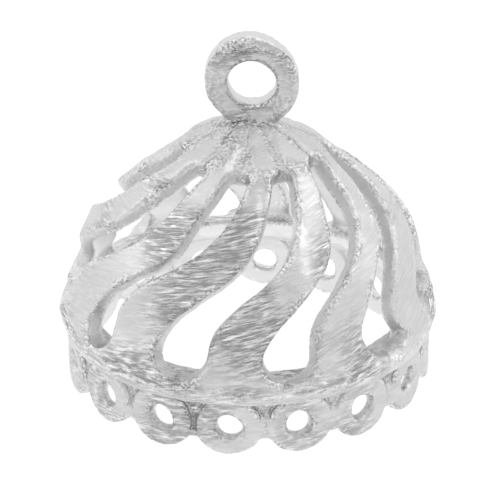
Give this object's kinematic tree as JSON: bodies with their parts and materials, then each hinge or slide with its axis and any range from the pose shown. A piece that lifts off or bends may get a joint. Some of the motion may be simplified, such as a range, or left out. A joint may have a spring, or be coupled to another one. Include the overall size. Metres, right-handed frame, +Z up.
{
  "type": "jhumka pendant",
  "caption": "Pierced bell-shaped pendant cap of swept ribs, with a hanging loop on top and a row of small rings under its rim.",
  "frame": {"origin": "middle of the ring row's foot, where the cap stands", "axes": "+Z up through the loop, +Y along the loop's hole, away from the picture's viewer"},
  "size_m": [0.02, 0.02, 0.0198],
  "materials": {
    "silver": "brushed matte silver plate on a brass casting"
  },
  "bodies": {
    "root": {"top_loop": "silver", "crown": "silver", "rim_band": "silver", "rib_01": "silver", "rib_02": "silver", "rib_03": "silver", "rib_04": "silver", "rib_05": "silver", "rib_06": "silver", "rib_07": "silver", "rib_08": "silver", "rib_09": "silver", "rib_10": "silver", "rim_ring_01": "silver", "rim_ring_02": "silver", "rim_ring_03": "silver", "rim_ring_04": "silver", "rim_ring_05": "silver", "rim_ring_06": "silver", "rim_ring_07": "silver", "rim_ring_08": "silver", "rim_ring_09": "silver", "rim_ring_10": "silver", "rim_ring_11": "silver", "rim_ring_12": "silver", "rim_ring_13": "silver", "rim_ring_14": "silver", "rim_ring_15": "silver", "rim_ring_16": "silver"}
  },
  "joints": []
}
